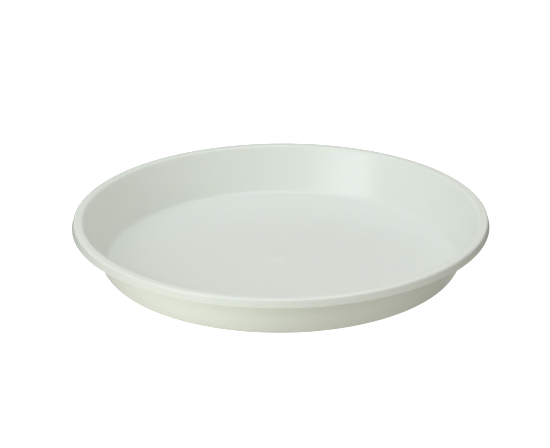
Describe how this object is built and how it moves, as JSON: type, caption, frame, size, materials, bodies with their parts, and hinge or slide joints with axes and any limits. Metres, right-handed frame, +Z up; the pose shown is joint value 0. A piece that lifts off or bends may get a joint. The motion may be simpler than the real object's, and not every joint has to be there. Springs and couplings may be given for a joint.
{
  "type": "plant saucer",
  "caption": "Round one-piece plastic plant saucer with a sloping side, a flat-topped, turned-down rim that is hollow beneath, and a shallow foot ring.",
  "frame": {"origin": "centre of the underside, on the table that the saucer stands on", "axes": "+Z up along the axis of the dish; the shape is round, so X and Y may be any two level directions"},
  "size_m": [0.24, 0.24, 0.029],
  "materials": {
    "moulded_plastic": "smooth satin polypropylene, pale greenish white"
  },
  "bodies": {
    "root": {"saucer": "moulded_plastic"}
  },
  "joints": []
}
